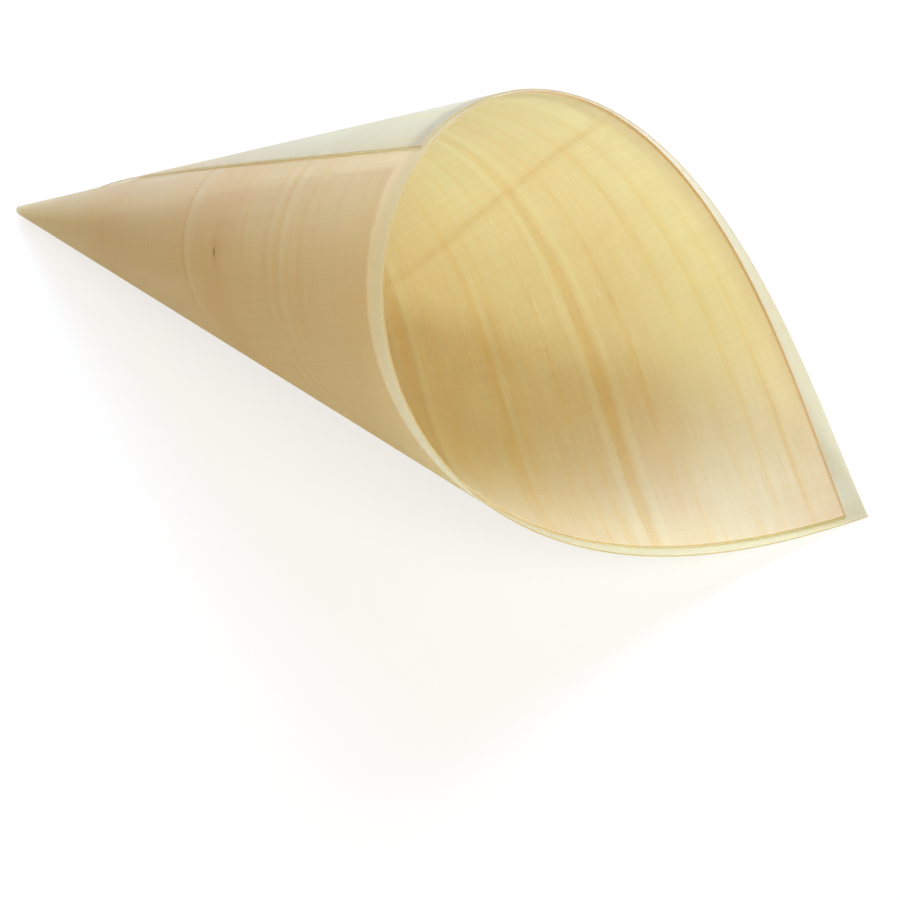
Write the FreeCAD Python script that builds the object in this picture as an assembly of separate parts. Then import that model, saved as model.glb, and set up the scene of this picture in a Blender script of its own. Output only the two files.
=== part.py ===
import FreeCAD, Part

# Wooden food cone: one thin sheet of wood veneer with straight sides, rolled into a cone.
#
# The sheet is rolled round a point just outside the middle of one long edge, the rolling centre.
# A straight line drawn on the flat sheet from that point stays straight in the rolled cone, and
# every such line meets the cone's axis at one angle, the half angle. Going round the rolling
# centre by some angle on the flat sheet goes round the cone's axis by that angle divided by the
# sine of the half angle, so half a circle of sheet makes about two turns of cone.
#
# Each turn lies over the one before it, a little further out, and the sheet never meets itself.
# As in a spiral drawn with two centres, every half turn is part of a plain circular cone. All the
# cones have one half angle, and the point of each is a step further back along the straight line
# where it takes over from the last one, so the two share that line and are smooth across it. The
# rolling centre takes the same step back on the flat sheet, so the roll stays true to length.
#
# The two corners furthest from the rolling centre end up beside each other, as the long tip of
# the mouth. The short edges make the low part of the lip, and the long edge that passes close to
# the rolling centre makes the seam that runs up the outside. In its middle that edge comes out to
# a shallow tongue, which closes the cone's point but for a pinhole.
#
# Millimetres. The cone lies on its side as it comes to rest, with the tip of the mouth down and
# along +X, and its origin is the middle of its bounding box, on the surface that it lies on.

from math import asinh, atan, atan2, cos, cosh, degrees, pi, radians, sin, sinh, tan
import os

SIZES = [
    ("sheet_length", 307.2, "long side of the flat sheet, along the grain"),
    ("inner_width", 147.6, "short side of the sheet where the roll starts"),
    ("outer_width", 153.1, "short side of the sheet where the roll ends"),
    ("roll_from_end", 149.9, "from the short side where the roll starts to the rolling centre"),
    ("roll_from_far_edge", 156.0, "from the far long edge to the rolling centre"),
    ("tongue_length", 60.0, "length of the near long edge that the tongue takes up"),
    ("tongue_from_roll", 0.4, "from the tongue's tip out to the rolling centre"),
    ("veneer_thickness", 0.4, "thickness of the sheet"),
    ("turn_gap", 0.15, "open space between one turn and the next"),
    ("half_angle", 14.17, "angle between the cone's side and its axis, in degrees"),
]

# Points that guide each stretch of a cut edge.
EDGE_POINTS = 25

# Stretches of an edge shorter than this, in millimetres, are left out.
SHORTEST = 1e-6

# Each plain cone's own places are counted along its side from this far, in millimetres.
FIRST_ROW = 5.0

# Half turns meet this far past each half circle, in degrees, so that the line that the cone lies
# on is inside one of them and not at the edge between two.
MEETS_PAST = 1.0


def add_spreadsheet(doc):
    """The driving dimensions, one row each: name, value and what it is."""
    sheet = doc.addObject("Spreadsheet::Sheet", "Sizes")
    for row, (name, value, meaning) in enumerate(SIZES, start=1):
        sheet.set(f"A{row}", name)
        sheet.set(f"B{row}", str(value))
        sheet.set(f"C{row}", meaning)
        sheet.setAlias(f"B{row}", name)
    doc.recompute()
    return sheet


def bearing_of(place):
    """Bearing of a place on the flat sheet, seen from where its coordinates start."""
    return atan2(place.y, place.x)


class Roll:
    """The flat sheet's outline, seen from the first rolling centre, and how it is rolled up."""

    def __init__(self, sizes):
        self.half_angle = radians(sizes.half_angle)
        self.thickness = sizes.veneer_thickness
        pitch = sizes.veneer_thickness + sizes.turn_gap
        self.step_back = pitch / sin(2 * self.half_angle)
        far = sizes.roll_from_far_edge
        inner_end = sizes.roll_from_end
        outer_end = sizes.roll_from_end - sizes.sheet_length
        self.first_corner = FreeCAD.Vector(inner_end, far - sizes.inner_width)
        self.last_corner = FreeCAD.Vector(outer_end, far - sizes.outer_width)
        tongue = [self.near_edge_at(x) for x in (sizes.tongue_length / 2, -sizes.tongue_length / 2)]
        tongue.insert(1, FreeCAD.Vector(0, sizes.tongue_from_roll))
        self.near_side = [self.first_corner, *tongue, self.last_corner]
        far_corners = [FreeCAD.Vector(inner_end, far), FreeCAD.Vector(outer_end, far)]
        self.far_side = [self.first_corner, *far_corners, self.last_corner]

    def near_edge_at(self, x):
        """Place on the straight line between the near long edge's two corners."""
        length = self.last_corner - self.first_corner
        return self.first_corner + length * ((x - self.first_corner.x) / length.x)

    def bearing(self, turn):
        """Bearing on the flat sheet of an angle round the axis from the first corner."""
        return bearing_of(self.first_corner) + turn * sin(self.half_angle)

    def turn(self, bearing):
        """Angle round the axis of a bearing."""
        return (bearing - bearing_of(self.first_corner)) / sin(self.half_angle)

    def start_of(self, half_turn):
        """Angle round the axis, from the first corner, where a half turn starts."""
        return half_turn * pi + (radians(MEETS_PAST) if half_turn else 0)

    def along(self, turn):
        """Unit vector along the cone's side, from the point to the mouth."""
        across = sin(self.half_angle)
        return FreeCAD.Vector(across * cos(turn), across * sin(turn), cos(self.half_angle))

    def outward(self, turn):
        """Unit vector square to the cone's side."""
        across = cos(self.half_angle)
        return FreeCAD.Vector(across * cos(turn), across * sin(turn), -sin(self.half_angle))

    def centre_of(self, half_turn):
        """The rolling centre of a half turn, on the flat sheet."""
        centre = FreeCAD.Vector()
        for later in range(1, half_turn + 1):
            bearing = self.bearing(self.start_of(later))
            centre -= FreeCAD.Vector(cos(bearing), sin(bearing)) * self.step_back
        return centre

    def point_of(self, half_turn, depth):
        """The point of the plain cone that a half turn is part of. The first half turn's cone is
        half a step back, and each later one a whole step. Depth into the veneer moves it down."""
        point = self.along(0) * (-self.step_back / 2)
        for later in range(1, half_turn + 1):
            point -= self.along(self.start_of(later)) * self.step_back
        return point - FreeCAD.Vector(0, 0, depth / sin(self.half_angle))


def straight_line(distance, facing, start, end):
    """Bearings and reaches of points along a straight line on the flat sheet. The line passes the
    rolling centre at a distance, facing a bearing, and its points lie from one bearing to another,
    crowded where the line is near the centre and bends most when it is rolled."""
    first, last = asinh(tan(start - facing)), asinh(tan(end - facing))
    steps = [first + (last - first) * i / (EDGE_POINTS - 1) for i in range(EDGE_POINTS)]
    return [(facing + atan(sinh(step)), distance * cosh(step)) for step in steps]


class HalfTurn:
    """The part of the sheet in one half turn, on both of its faces."""

    def __init__(self, roll, number):
        self.roll = roll
        self.number = number
        self.centre = roll.centre_of(number)
        self.start = roll.bearing(roll.start_of(number))
        last = bearing_of(roll.last_corner - self.centre)
        self.end = min(last, roll.bearing(roll.start_of(number + 1)))
        self.is_last = self.end == last
        self.near = self.stretches(roll.near_side)
        self.far = self.stretches(roll.far_side)

    def stretches(self, corners):
        """What the straight sides between these corners have in this half turn, as lists of
        points seen from its rolling centre."""
        found = []
        for here, there in zip(corners, corners[1:]):
            here, there = here - self.centre, there - self.centre
            side = (there - here).normalize()
            foot = here - side * here.dot(side)
            start = max(bearing_of(here), self.start)
            end = min(bearing_of(there), self.end)
            if (end - start) * foot.Length > SHORTEST:
                found.append(straight_line(foot.Length, bearing_of(foot), start, end))
        return found

    def cone(self, depth):
        """The plain circular cone, as a surface. Its seam is on the side away from this half."""
        seam = FreeCAD.Rotation(FreeCAD.Vector(0, 0, 1), degrees(self.number * pi - pi / 2))
        cone = Part.Cone()
        cone.rotate(FreeCAD.Placement(FreeCAD.Vector(), seam))
        cone.SemiAngle = self.roll.half_angle
        cone.Radius = FIRST_ROW * sin(self.roll.half_angle)
        height = FIRST_ROW * cos(self.roll.half_angle)
        cone.Center = self.roll.point_of(self.number, depth) + FreeCAD.Vector(0, 0, height)
        return cone

    def spot(self, place, depth):
        """Where a place of the flat sheet falls on that surface: round it, and along its side."""
        bearing, reach = place
        around = self.roll.turn(bearing) - self.number * pi + pi / 2
        return FreeCAD.Base.Vector2d(around, reach + depth / tan(self.roll.half_angle) - FIRST_ROW)

    def cut_edges(self, cone, stretches, depth):
        """Edges of the sheet, drawn on the cone."""
        edges = []
        for line in stretches:
            curve = Part.Geom2d.BSplineCurve2d()
            curve.interpolate(Points=[self.spot(place, depth) for place in line])
            edges.append(curve.toShape(cone))
        return edges

    def side_line(self, cone, low, high, depth):
        """The straight line where this half turn meets the next, none at a corner of the sheet."""
        if high[1] - low[1] < SHORTEST:
            return []
        line = Part.Geom2d.Line2dSegment(self.spot(low, depth), self.spot(high, depth))
        return [line.toShape(cone)]

    def face(self, depth):
        """One face of the veneer, with its near and far cut edges."""
        cone = self.cone(depth)
        near = self.cut_edges(cone, self.near, depth)
        far = self.cut_edges(cone, self.far, depth)
        first = self.side_line(cone, self.near[0][0], self.far[0][0], depth)
        last = self.side_line(cone, self.near[-1][-1], self.far[-1][-1], depth)
        return Part.Face(cone, Part.Wire(near + last + far[::-1] + first)), near + far

    def faces(self):
        """Both faces of the veneer and the cut edges between them."""
        inner, inner_edges = self.face(0)
        outer, outer_edges = self.face(self.roll.thickness)
        pairs = zip(inner_edges, outer_edges)
        strips = [Part.makeLoft([Part.Wire(low), Part.Wire(high)], False, True) for low, high in pairs]
        return [inner, outer] + [face for strip in strips for face in strip.Faces]


def rolled_sheet(roll):
    """The sheet as one solid."""
    half_turns = [HalfTurn(roll, 0)]
    while not half_turns[-1].is_last:
        half_turns.append(HalfTurn(roll, len(half_turns)))
    shell = Part.makeShell([face for half_turn in half_turns for face in half_turn.faces()])
    shell.sewShape()
    solid = Part.makeSolid(shell)
    if solid.Volume < 0:
        solid.reverse()
    return solid


def resting_placement(roll, shape):
    """Lays the cone on the line of its side that is nearest its centre of mass."""
    centre = shape.CenterOfMass
    turn = atan2(centre.y, centre.x)
    along, outward = roll.along(turn), roll.outward(turn)
    turned = FreeCAD.Rotation(along, along.cross(outward), outward * -1, "XZY").inverted()
    lying = shape.transformed(FreeCAD.Placement(FreeCAD.Vector(), turned).toMatrix())
    box = lying.optimalBoundingBox()
    return FreeCAD.Placement(FreeCAD.Vector(-box.Center.x, -box.Center.y, -box.ZMin), turned)


def add_rolled_veneer(doc, sizes):
    """The only piece."""
    roll = Roll(sizes)
    piece = doc.addObject("Part::Feature", "RolledVeneer")
    piece.Label = "rolled_veneer"
    piece.Shape = rolled_sheet(roll)
    piece.Placement = resting_placement(roll, piece.Shape)
    return piece


def check(doc, pieces):
    """Stops if any object failed, or a piece isn't one closed solid."""
    failed = [item.Name for item in doc.Objects if {"Invalid", "Error"} & set(item.State)]
    if failed:
        raise RuntimeError("failed to build: " + ", ".join(failed))
    for piece in pieces:
        if piece.Shape.isNull() or not piece.Shape.isValid() or len(piece.Shape.Solids) != 1:
            raise RuntimeError(piece.Label + " is not one valid solid")


def main():
    doc = FreeCAD.newDocument("food_cone")
    sizes = add_spreadsheet(doc)
    pieces = [add_rolled_veneer(doc, sizes)]
    doc.recompute()
    check(doc, pieces)
    os.makedirs("parts", exist_ok=True)
    for piece in pieces:
        piece.Shape.exportStep(f"parts/{piece.Label}.step")
        box = piece.Shape.optimalBoundingBox()
        size = f"{box.XLength:.1f} x {box.YLength:.1f} x {box.ZLength:.1f} mm"
        print(piece.Label, size, f"{piece.Shape.Volume:.0f} mm3")


main()
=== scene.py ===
# %% [markdown]
# # A wooden food cone
# The object is one thin sheet of wood veneer, rolled about two turns into a cone that lies on its
# side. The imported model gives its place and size. Here the same roll is drawn much finer, so that
# grain can follow the sheet round both turns and light can shine through the thin wood.

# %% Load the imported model
from math import pi, radians

import bpy
import bmesh
import numpy as np
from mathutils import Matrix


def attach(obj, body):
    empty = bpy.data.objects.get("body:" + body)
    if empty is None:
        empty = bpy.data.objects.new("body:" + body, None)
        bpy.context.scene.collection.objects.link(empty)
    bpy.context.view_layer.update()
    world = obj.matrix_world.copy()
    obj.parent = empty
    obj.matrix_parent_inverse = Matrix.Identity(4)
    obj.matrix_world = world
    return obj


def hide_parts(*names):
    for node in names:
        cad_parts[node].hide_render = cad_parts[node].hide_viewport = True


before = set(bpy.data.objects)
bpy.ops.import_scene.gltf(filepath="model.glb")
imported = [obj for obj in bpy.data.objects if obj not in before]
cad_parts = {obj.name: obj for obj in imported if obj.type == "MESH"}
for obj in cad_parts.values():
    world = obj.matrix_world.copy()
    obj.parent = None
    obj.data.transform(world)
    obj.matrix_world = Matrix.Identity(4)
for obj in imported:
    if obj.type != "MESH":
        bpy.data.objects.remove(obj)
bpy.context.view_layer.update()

# %% [markdown]
# ## The flat sheet
# Veneer is cut flat and rolled afterwards, so everything starts on the flat sheet. X runs along
# the grain and Y across it, in millimetres, and the rolling centre is where both are zero. The
# near long edge passes close to that centre and comes out to a shallow tongue, which closes the
# cone's point but for a pinhole. The other three edges make the lip of the mouth.

# %% The sheet's corners and how it is rolled
NEAR_SIDE = np.array([[149.9, 8.4], [30.0, 6.253], [0.0, 0.4], [-30.0, 5.179], [-157.3, 2.9]])
FAR_SIDE = np.array([[149.9, 8.4], [149.9, 156.0], [-157.3, 156.0], [-157.3, 2.9]])
HALF_ANGLE = radians(14.17)
HALF_TURNS = 4
THICKNESS = 0.4
TURN_GAP = 0.15
STEP_BACK = (THICKNESS + TURN_GAP) / np.sin(2 * HALF_ANGLE)


def bearing_of(places):
    """Bearing of places on the flat sheet: the angle from +X, anticlockwise."""
    return np.arctan2(places[..., 1], places[..., 0])


FIRST_BEARING = bearing_of(NEAR_SIDE[0])


def facing(bearing):
    """Unit vectors on the flat sheet: the cosine and the sine of the bearing."""
    return np.stack([np.cos(bearing), np.sin(bearing)], axis=-1)


PAST_HALF = radians(1.0)
STARTS = np.arange(HALF_TURNS) * pi + PAST_HALF * (np.arange(HALF_TURNS) > 0)
side_lines = FIRST_BEARING + STARTS[1:] * np.sin(HALF_ANGLE)
CENTRES = np.concatenate([np.zeros((1, 2)), -STEP_BACK * np.cumsum(facing(side_lines), axis=0)])
print("rolling centres of the four half turns:", CENTRES.round(2).tolist(), "mm")

# %% [markdown]
# ## Where a ray from the rolling centre meets the sheet's edges
# In the cone, each straight line from the rolling centre stays straight. So the sheet is drawn
# ray by ray: one column of points for each ray, from the near edge out to the far one.


# %% Reach of an edge along a ray
def reach_of_side(corners, centre, bearing):
    """How far along each ray the edge lies: the distance of the edge's line from the centre,
    divided by the cosine of the angle between the ray and the shortest way to that line."""
    places = corners - centre
    along = np.diff(places, axis=0)
    along /= np.linalg.norm(along, axis=1, keepdims=True)
    foot = places[:-1] - along * np.sum(places[:-1] * along, axis=1, keepdims=True)
    distance = np.linalg.norm(foot, axis=1)
    reaches = distance / np.cos(bearing[:, None] - bearing_of(foot))
    side = np.searchsorted(bearing_of(places)[1:-1], bearing)
    return reaches[np.arange(len(bearing)), side]


def edge_reaches(turn):
    """Reach of the near and the far edge for each turn round the axis, and its half turn."""
    half_turn = np.searchsorted(STARTS, turn + 1e-9, side="right") - 1
    bearing = FIRST_BEARING + turn * np.sin(HALF_ANGLE)
    near, far = np.empty_like(turn), np.empty_like(turn)
    for number in range(HALF_TURNS):
        here = half_turn == number
        near[here] = reach_of_side(NEAR_SIDE, CENTRES[number], bearing[here])
        far[here] = reach_of_side(FAR_SIDE, CENTRES[number], bearing[here])
    return near, far, half_turn, bearing


last_corner = NEAR_SIDE[-1] - CENTRES[-1]
LAST_TURN = (bearing_of(last_corner) - FIRST_BEARING) / np.sin(HALF_ANGLE)
print("the sheet goes round", round(float(np.degrees(LAST_TURN)), 1), "degrees")

# %% [markdown]
# ## Columns and rows
# Near its two ends the sheet's near edge runs almost along the rays, so rays at even angles would
# draw that edge as a few long steps. The columns are spaced evenly by the angle and by the length
# of the near edge together, and one falls on each corner and on each change of half turn.

# %% Space the columns
COLUMNS = 1300
ROWS = 26
LENGTH_WEIGHT = 0.6
fine = np.linspace(0, LAST_TURN, 20001)
near, far, half_turn, bearing = edge_reaches(fine)
edge = CENTRES[half_turn] + near[:, None] * facing(bearing)
length = np.concatenate([[0], np.cumsum(np.linalg.norm(np.diff(edge, axis=0), axis=1))])
measure = fine / LAST_TURN + LENGTH_WEIGHT * length / length[-1]
corner_turns = []
for number, (start, end) in enumerate(zip(STARTS, [*STARTS[1:], LAST_TURN])):
    for corners in (NEAR_SIDE[1:-1], FAR_SIDE[1:-1]):
        turns = (bearing_of(corners - CENTRES[number]) - FIRST_BEARING) / np.sin(HALF_ANGLE)
        corner_turns += [turn for turn in turns if start < turn < end]
even = np.interp(np.linspace(0, measure[-1], COLUMNS), measure, fine)
turn = np.unique(np.concatenate([even, corner_turns, STARTS]))
turn = turn[np.concatenate([[True], np.diff(turn) > 1e-6])]
print(len(turn), "columns, corners at", np.degrees(corner_turns).round(1).tolist(), "degrees")

# %% [markdown]
# ## Rolling the sheet
# Each half turn lies on a plain cone with its own point, one step further back than the last, so
# the turns never meet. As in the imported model, each change comes 1 degree past the half circle.
# The last step lays the cone on its side, as it comes to rest, with the tip of its mouth down and
# along +X. Those numbers come from the centre of mass.

# %% Roll it and lay it down
LYING = np.array([
    [-0.244768, 0.003945, 0.969574],
    [-0.016115, -0.999870, 0.0],
    [0.969448, -0.015624, 0.244800],
])
ROLL_AT = np.array([-109.54519, 0.14548, 1.22498])


def along_side(turn):
    """Unit vectors down the cone's side: the half angle's sine round the axis, its cosine along."""
    across = np.sin(HALF_ANGLE)
    return np.stack([across * np.cos(turn), across * np.sin(turn),
                     np.full_like(turn, np.cos(HALF_ANGLE))], axis=-1)


def outward(turn):
    """Unit vectors square to the side: the half angle's cosine round the axis, minus its sine."""
    across = np.cos(HALF_ANGLE)
    return np.stack([across * np.cos(turn), across * np.sin(turn),
                     np.full_like(turn, -np.sin(HALF_ANGLE))], axis=-1)


steps = np.concatenate([[0.5], np.ones(HALF_TURNS - 1)])[:, None] * along_side(STARTS)
POINTS = -STEP_BACK * np.cumsum(steps, axis=0)


def rolled(turn, half_turn, reach, depth):
    """Places in the cone: the half turn's point, plus the reach along the side, plus the depth
    outward, then turned and moved to where the cone lies. In metres."""
    place = POINTS[half_turn] + reach[..., None] * along_side(turn) + depth * outward(turn)
    return (place @ LYING.T + ROLL_AT) / 1000


near, far, half_turn, bearing = edge_reaches(turn)
share = np.linspace(0, 1, ROWS)[:, None]
reach = near + share * (far - near)
flat = CENTRES[half_turn] + reach[..., None] * facing(bearing)
skins = [rolled(turn, half_turn, reach, depth) for depth in (0, THICKNESS)]
print("rolled", reach.size * 2, "points")

# %% [markdown]
# ## One closed mesh
# The two faces of the veneer are grids of quads, and narrow strips of quads close the cut edges
# between them. Every point also keeps its place on the flat sheet, and 0 or 1 for the face that
# it is on, as an attribute for the material.


# %% Make the mesh
def grid_faces(rows, columns, start, flip):
    """Quads of a grid whose points are numbered row by row."""
    number = start + np.arange(rows * columns).reshape(rows, columns)
    quads = np.stack([number[:-1, :-1], number[:-1, 1:], number[1:, 1:], number[1:, :-1]], axis=-1)
    return quads.reshape(-1, 4)[:, ::-1 if flip else 1]


def strip_faces(low, high, flip):
    """Quads between two rows of points."""
    quads = np.stack([low[:-1], low[1:], high[1:], high[:-1]], axis=-1)
    return quads[:, ::-1 if flip else 1]


rows, columns = reach.shape
number = np.arange(rows * columns * 2).reshape(2, rows, columns)
faces = np.concatenate([
    grid_faces(rows, columns, 0, True),
    grid_faces(rows, columns, rows * columns, False),
    strip_faces(number[0, 0], number[1, 0], False),
    strip_faces(number[0, -1], number[1, -1], True),
])
places = np.concatenate([skin.reshape(-1, 3) for skin in skins])
face_of = np.repeat([0.0, 1.0], rows * columns)
sheet_place = np.column_stack([np.tile(flat.reshape(-1, 2), (2, 1)), face_of])

mesh = bpy.data.meshes.new("food_cone")
mesh.from_pydata(places, [], faces)
attribute = mesh.attributes.new("sheet_place", "FLOAT_VECTOR", "POINT")
attribute.data.foreach_set("vector", sheet_place.astype(np.float32).ravel())

# %% [markdown]
# At its first and last corner the sheet has no height, so there all the rows fall on one point.
# Merging doubles closes the mesh there.

# %% Close the corners and shade it smooth
work = bmesh.new()
work.from_mesh(mesh)
bmesh.ops.remove_doubles(work, verts=work.verts, dist=1e-6)
bmesh.ops.dissolve_degenerate(work, edges=work.edges, dist=1e-7)
bmesh.ops.recalc_face_normals(work, faces=work.faces)
open_edges = sum(not item.is_manifold for item in work.edges)
print("volume", round(work.calc_volume() * 1e9), "mm3, open edges", open_edges)
work.to_mesh(mesh)
work.free()
mesh.shade_smooth()
mesh.set_sharp_from_angle(angle=radians(40))
cone = bpy.data.objects.new("food_cone", mesh)
bpy.context.collection.objects.link(cone)
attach(cone, "root")
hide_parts("rolled_veneer")
print("food_cone has", len(mesh.polygons), "faces")

# %% [markdown]
# ## Colours and nodes
# Colours are written as sRGB hex values, as a picture editor shows them, and shaders work in
# linear light, so one function turns the first into the second. Another adds a node, sets it up
# and links its inputs.


# %% Two helpers for materials
def linear(hex_value):
    """sRGB hex to linear: a short straight part near black, then a power of 2.4."""
    parts = np.array([int(hex_value[i:i + 2], 16) for i in (1, 3, 5)]) / 255
    return (*np.where(parts <= 0.04045, parts / 12.92, ((parts + 0.055) / 1.055) ** 2.4), 1.0)


def add(tree, kind, settings=None, **inputs):
    """Adds a node. An input's name has _ for a space, or is i and a number, and a value that is a
    socket is linked."""
    node = tree.nodes.new(kind)
    for name, value in (settings or {}).items():
        setattr(node, name, value)
    for name, value in inputs.items():
        key = int(name[1:]) if name[0] == "i" and name[1:].isdigit() else name.replace("_", " ")
        if isinstance(value, bpy.types.NodeSocket):
            tree.links.new(value, node.inputs[key])
        else:
            node.inputs[key].default_value = value
    return node


def new_material(name):
    """An empty material with its output node."""
    material = bpy.data.materials.new(name)
    material.use_nodes = True
    material.node_tree.nodes.clear()
    return material, material.node_tree, material.node_tree.nodes.new("ShaderNodeOutputMaterial")


# %% [markdown]
# ## Peeled pine veneer
# The veneer is bare, dry softwood, peeled from the log with a long knife: matt and pale, with a
# few growth lines along the grain, finer lines and fibres between them, and faint marks of the
# knife across. Its place on the flat sheet drives every pattern, so the grain bends round the
# cone as real grain does. One function lays a pattern along the grain. It starts from noise that
# is stretched far more along the sheet than across it, with both lengths in real millimetres.

# %% Veneer: coordinates along and across the grain
WHITE = (1, 1, 1, 1)
veneer, tree, output = new_material("peeled_pine_veneer")
sheet = add(tree, "ShaderNodeAttribute", {"attribute_name": "sheet_place"})
grain = add(tree, "ShaderNodeSeparateXYZ", Vector=sheet.outputs["Vector"])
along, across, skin = grain.outputs


def streaks(along_mm, across_mm, detail, quiet, full):
    """Streaks along the grain, from 0 to 1: noise with cells this long and this wide, with all
    below the quiet level as 0 and all above the full level as 1."""
    cells = add(tree, "ShaderNodeVectorMath", {"operation": "DIVIDE"}, i0=sheet.outputs["Vector"],
                i1=(along_mm, across_mm, 1e6))
    noise = add(tree, "ShaderNodeTexNoise", {"noise_dimensions": "2D"}, Vector=cells.outputs[0],
                Scale=1.0, Detail=detail, Roughness=0.5)
    level = add(tree, "ShaderNodeMapRange", {"interpolation_type": "SMOOTHSTEP"},
                Value=noise.outputs["Fac"], From_Min=quiet, From_Max=full)
    return level.outputs[0]


def stained(colour, layers, blend="MIX"):
    """The colour under stains, one over another. Each layer is a mask from 0 to 1, its strength
    and the stain's colour, and the mask times the strength is how much of the stain shows."""
    for mask, strength, hex_value in layers:
        amount = add(tree, "ShaderNodeMath", {"operation": "MULTIPLY"}, i0=mask, i1=strength)
        stain = add(tree, "ShaderNodeMix", {"data_type": "RGBA", "blend_type": blend},
                    i0=amount.outputs[0], i6=colour, i7=linear(hex_value))
        colour = stain.outputs[2]
    return colour


# %% [markdown]
# ## Parts of the sheet
# Some tones and marks are on one part of the sheet only. Each row names a part, and gives the
# direction it is measured in, where it starts and where it is in full, in millimetres.

# %% Veneer: parts of the sheet
PARTS = {
    "sapwood": (along, -45.0, -120.0),
    "outer third": (along, -50.0, -90.0),
    "inner half": (along, 5.0, 45.0),
    "outer half": (along, 45.0, 5.0),
    "outer end": (along, -151.5, -154.5),
    "far margin": (across, 150.5, 154.5),
    # the narrow band at the far edge, where the painted shadow line goes
    "far edge": (across, 155.4, 155.8),
    "near edge": (across, 12.0, 9.0),
}
part = {}
for name, (direction, start, full) in PARTS.items():
    ramp = add(tree, "ShaderNodeMapRange", {"interpolation_type": "SMOOTHSTEP"}, Value=direction,
               From_Min=start, From_Max=full)
    part[name] = ramp.outputs[0]
print(len(part), "parts of the sheet")

# %% [markdown]
# ## Tones, fine lines and fibres
# Wood is never one colour. Broad bands a few centimetres wide are a little paler or pinker, and
# towards the sheet's outer end the wood is pale and cool, as sapwood is. Growth lines 2 mm apart
# are only a little more orange. Real fibres are 0.03 mm wide, too fine to show, so they are drawn
# ten times as wide. The knife leaves faint ripples across the grain.

# %% Veneer: tones, fine lines and fibres
tone = streaks(120, 26, 2, 0.3, 0.7)
fine_lines = streaks(240, 2.2, 1, 0.52, 0.28)
fibres = streaks(18, 0.32, 2, 0.25, 0.75)
ripples = streaks(0.6, 45, 1, 0.7, 0.3)
line_strength = add(tree, "ShaderNodeMapRange", {"interpolation_type": "SMOOTHSTEP"}, Value=along,
                    From_Min=-30.0, From_Max=40.0, To_Min=0.25, To_Max=0.65).outputs[0]
wood = stained(linear("#F4E0C4"), (
    (tone, 1.0, "#F5E9D1"),
    (part["sapwood"], 0.9, "#F0F5EA"),
))
wood = stained(wood, (
    (fine_lines, line_strength, "#FDEBC9"),
    (fibres, 0.5, "#F1E5D0"),
    (ripples, 0.3, "#F1E7D4"),
), "MULTIPLY")
print("plain wood has", len(tree.nodes), "nodes")


# %% [markdown]
# ## The few strong growth lines
# Five growth lines stand out. Each is a thin darker line, the dense wood of autumn, with a paler
# one beside it. They run nearly straight along the sheet and bend a little towards its outer
# end, so each is a hump in the distance across the grain, with that bend and a little noise
# added. Against the light the dense wood shows as a line through the turn that lies over it.
# The table gives each line's place across the sheet in millimetres, how strong its dark and its
# pale part are, how strong it is against the light, and how far along the sheet it runs.


# %% Veneer: the strong growth lines
def hump(value, centre, width):
    """1 at the centre and 0 beyond the width, falling off smoothly on both sides."""
    offset = add(tree, "ShaderNodeMath", {"operation": "SUBTRACT"}, i0=value, i1=centre)
    distance = add(tree, "ShaderNodeMath", {"operation": "ABSOLUTE"}, i0=offset.outputs[0])
    fall = add(tree, "ShaderNodeMapRange", {"interpolation_type": "SMOOTHSTEP"},
               Value=distance.outputs[0], From_Min=width, From_Max=0.0)
    return fall.outputs[0]


drift = add(tree, "ShaderNodeMapRange", Value=along, From_Min=-90.0, From_Max=-160.0, To_Min=0.0,
            To_Max=8.4).outputs[0]
bent = add(tree, "ShaderNodeMath", {"operation": "ADD"}, i0=across, i1=drift).outputs[0]
waver = add(tree, "ShaderNodeMath", {"operation": "MULTIPLY_ADD"},
            i0=streaks(70, 400, 1, 0.2, 0.8), i1=0.8, i2=bent).outputs[0]
DENSE_WIDTH = 1.1
PALE_WIDTH = 1.5
PALE_OFFSET = 1.6
GROWTH_LINES = (
    (61.4, 0.2, 0.3, 0.3, part["outer third"]),
    (81.4, 0.12, 0.4, 0.12, 1.0),
    (94.3, 0.05, 0.1, 0.08, part["outer third"]),
    (114.5, 0.08, 0.25, 0.03, 1.0),
    (119.3, 0.08, 0.35, 0.03, 1.0),
)
filtered = linear("#FFFEE6")
for place, dark, light, against_light, extent in GROWTH_LINES:
    dense = add(tree, "ShaderNodeMath", {"operation": "MULTIPLY"},
                i0=hump(waver, place, DENSE_WIDTH), i1=extent).outputs[0]
    pale = add(tree, "ShaderNodeMath", {"operation": "MULTIPLY"},
               i0=hump(waver, place + PALE_OFFSET, PALE_WIDTH), i1=extent).outputs[0]
    wood = stained(wood, ((dense, dark, "#D9AE6E"), (pale, light, "#FAF3DD")))
    filtered = stained(filtered, ((dense, against_light, "#D9AE62"),))
print(len(GROWTH_LINES), "strong growth lines")
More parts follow.
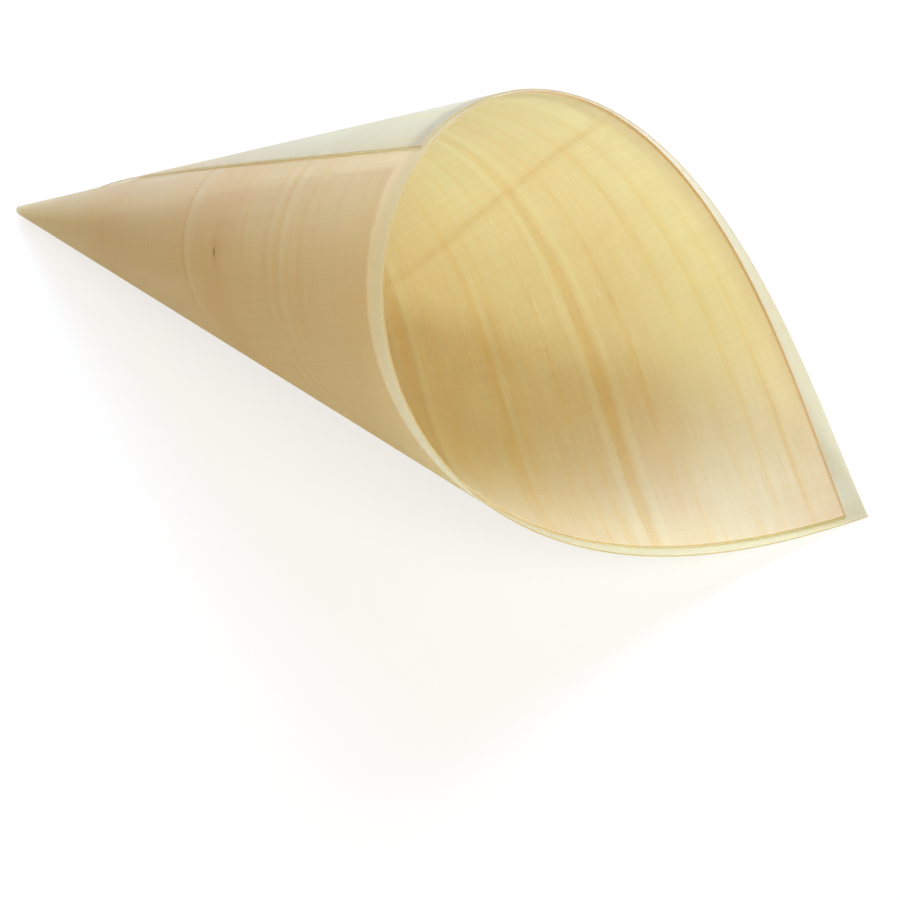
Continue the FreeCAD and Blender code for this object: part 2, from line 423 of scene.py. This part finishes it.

# %% [markdown]
# ## A fleck, the margins and a painted shadow
# A small dark fleck lies on the outside, along the grain, in a soft brown halo. A few millimetres
# beside the lips are a little duller. A thin brown line along the far edge of the inner turn is
# painted shade: the shadow in the narrow gap where that edge meets the turn over it. Each mark is
# where two masks overlap, so its mask is the product of both. The last row is the cut edge on the
# near side, which shows as the seam.

# %% Veneer: the fleck and the margins
FLECK = (-18.3, 93.9)
cut_edge = hump(skin, 0.5, 0.48)
OVERLAPS = {
    "fleck": (hump(along, FLECK[0], 1.7), hump(across, FLECK[1], 0.5)),
    "halo": (hump(along, FLECK[0] + 1, 7.0), hump(across, FLECK[1], 2.0)),
    "dull margin": (part["far margin"], part["outer half"]),
    # painted shade: the thin brown line where the inner turn's far edge meets the turn over it
    "painted gap shade": (part["far edge"], part["inner half"]),
    "seam": (cut_edge, part["near edge"]),
}
mark = {}
for name, (first, second) in OVERLAPS.items():
    product = add(tree, "ShaderNodeMath", {"operation": "MULTIPLY"}, i0=first, i1=second)
    mark[name] = product.outputs[0]
wood = stained(wood, (
    (mark["dull margin"], 0.6, "#CFC49D"),
    (part["outer end"], 0.55, "#D9DABC"),
    # painted shadow: a thin brown line in the gap at the inner turn's far edge
    (mark["painted gap shade"], 0.6, "#CE9D55"),
    (mark["halo"], 0.3, "#CFA06A"),
    (mark["fleck"], 0.6, "#6B4A2A"),
))
filtered = stained(filtered, (
    (part["outer end"], 0.5, "#E7D8CD"),
    # the same painted shadow line, also in the light that passes through the wood
    (mark["painted gap shade"], 0.4, "#D9A95E"),
    (mark["fleck"], 0.6, "#7A5530"),
))
print(len(mark), "marks")

# %% [markdown]
# ## The two skins and the cut edges
# A peeled sheet has a smooth tight skin and a looser one that stretched as it left the log. The
# looser one is outside here, and a little pinker and duller. The cut edges are end grain and side
# grain, where light sinks in, so they are darker than the skins. The seam's edge is the palest.

# %% Veneer: the skins and the cut edges
skin_colour = stained(wood, ((skin, 1.0, "#EFE7E1"),), "MULTIPLY")
skin_colour = stained(skin_colour, (
    (cut_edge, 1.0, "#D6B983"),
    (mark["seam"], 1.0, "#E3DCC2"),
))
print("with skins and cut edges it has", len(tree.nodes), "nodes")

# %% [markdown]
# ## Light through the wood
# At 0.4 mm the wood lets much of the light through, so its shader is part matt surface and part
# translucent. Light that passes has been filtered by yellow resin and wood. Where only one turn
# lies, the wall glows more because more light comes through, and no colour is painted for that.

# %% Veneer: relief and shader
FILTERING = 0.82
TRANSLUCENT_SHARE = 0.67
FIBRE_HEIGHT = 0.05 / 1000
relief = add(tree, "ShaderNodeBump", Strength=0.2, Distance=FIBRE_HEIGHT, Height=fibres)
surface = add(tree, "ShaderNodeBsdfPrincipled", Base_Color=skin_colour, Roughness=0.55, IOR=1.45,
              Specular_IOR_Level=0.45, Normal=relief.outputs[0])
passing = add(tree, "ShaderNodeMix", {"data_type": "RGBA"}, i0=FILTERING, i6=wood, i7=filtered)
passing = stained(passing.outputs[2], ((cut_edge, 1.0, "#CBB080"),))
glow = add(tree, "ShaderNodeBsdfTranslucent", Color=passing, Normal=relief.outputs[0])
both = add(tree, "ShaderNodeMixShader", i0=TRANSLUCENT_SHARE, i1=surface.outputs[0],
           i2=glow.outputs[0])
tree.links.new(both.outputs[0], output.inputs["Surface"])
mesh.materials.append(veneer)
print("veneer has", len(tree.nodes), "nodes")

# %% [markdown]
# ## A white table
# The object lies on a plain white surface that fades into a white background. The table lights
# the cone from below as an ordinary matt white surface. To the camera it shows mostly plain
# white, and the rest is the matt surface, so that the cone's shadow stays, as a faint one.
# Transmission rays don't count as seen: light that passes the thin wood is of that kind, and
# would make the cone brighter.


# %% Table
def seen(tree):
    """1 for a ray from the camera or a glossy reflection, and 0 for all other light."""
    ray = add(tree, "ShaderNodeLightPath")
    larger = add(tree, "ShaderNodeMath", {"operation": "MAXIMUM"},
                 i0=ray.outputs["Is Camera Ray"], i1=ray.outputs["Is Glossy Ray"])
    return larger.outputs[0]


TABLE_SIDE = 6.0
PLAIN_SHARE = 0.7
corners = np.array([(-1, -1, 0), (1, -1, 0), (1, 1, 0), (-1, 1, 0)]) * TABLE_SIDE / 2
table_mesh = bpy.data.meshes.new("table")
table_mesh.from_pydata(corners, [], [(0, 1, 2, 3)])
table = bpy.data.objects.new("table", table_mesh)
bpy.context.collection.objects.link(table)

paper, tree, output = new_material("white_paper")
share = add(tree, "ShaderNodeMath", {"operation": "MULTIPLY"}, i0=seen(tree), i1=PLAIN_SHARE)
matt = add(tree, "ShaderNodeBsdfDiffuse", Color=linear("#F2F2F0"))
plain = add(tree, "ShaderNodeEmission", Color=WHITE)
both = add(tree, "ShaderNodeMixShader", i0=share.outputs[0], i1=matt.outputs[0],
           i2=plain.outputs[0])
tree.links.new(both.outputs[0], output.inputs["Surface"])
table_mesh.materials.append(paper)
print("table", TABLE_SIDE, "m square")

# %% [markdown]
# ## Soft light from all round
# The world shows plain white to the camera and to reflections, at a strength of 1. To everything
# else it is a weaker, slightly warm light from all sides, as from a pale room.

# %% World
world = bpy.data.worlds.new("pale_room")
bpy.context.scene.world = world
world.use_nodes = True
tree = world.node_tree
tree.nodes.clear()
room = add(tree, "ShaderNodeBackground", Color=linear("#FFEFE2"), Strength=0.4)
white = add(tree, "ShaderNodeBackground", Color=WHITE, Strength=1.0)
backdrop = add(tree, "ShaderNodeMixShader", i0=seen(tree), i1=room.outputs[0], i2=white.outputs[0])
add(tree, "ShaderNodeOutputWorld", Surface=backdrop.outputs[0])
print("world has", len(tree.nodes), "nodes")

# %% [markdown]
# ## Two softboxes
# Thin wood looks as it does because of where the light comes from. A large cool lamp behind the
# cone shines through it and edges its top. A smaller warm one before the mouth lights the inside
# and fills the outside.


# %% Lamps
def softbox(name, place, size, watts, colour=(1, 1, 1)):
    """A square lamp that faces the cone: tipped by the angle between straight down and the way to
    the cone, then turned round to face it."""
    data = bpy.data.lights.new(name, "AREA")
    data.shape = "SQUARE"
    data.size = size
    data.energy = watts
    data.color = colour
    towards = np.array([0, 0, 0.03]) - np.array(place)
    tip = np.arctan2(np.hypot(towards[0], towards[1]), -towards[2])
    turned = np.arctan2(towards[1], towards[0]) - pi / 2
    lamp = bpy.data.objects.new(name, data)
    lamp.location = place
    lamp.rotation_euler = (float(tip), 0.0, float(turned))
    bpy.context.collection.objects.link(lamp)
    print(name, watts, "W")


softbox("back_softbox", (-0.3, 1.05, 0.7), 0.8, 22.0, (0.74, 1.02, 1.75))
softbox("front_softbox", (0.7, -0.25, 0.75), 0.6, 8.6, (1.0, 0.98, 0.76))

# %% [markdown]
# ## Camera
# The camera looks down on the cone from behind its shoulder, tilted a little, so that the point
# is at the left and the mouth opens to the right.

# %% Place the camera
camera_data = bpy.data.cameras.new("camera")
camera_data.sensor_width = 36.0
camera_data.lens = 101.79
camera_data.clip_start = 0.01
camera = bpy.data.objects.new("camera", camera_data)
camera.location = (0.26612, -0.21272, 0.43073)
camera.rotation_euler = (radians(33.144), radians(14.5106), radians(30.532))
bpy.context.collection.objects.link(camera)
bpy.context.scene.camera = camera

# %% Colour management
bpy.context.scene.view_settings.view_transform = "Standard"
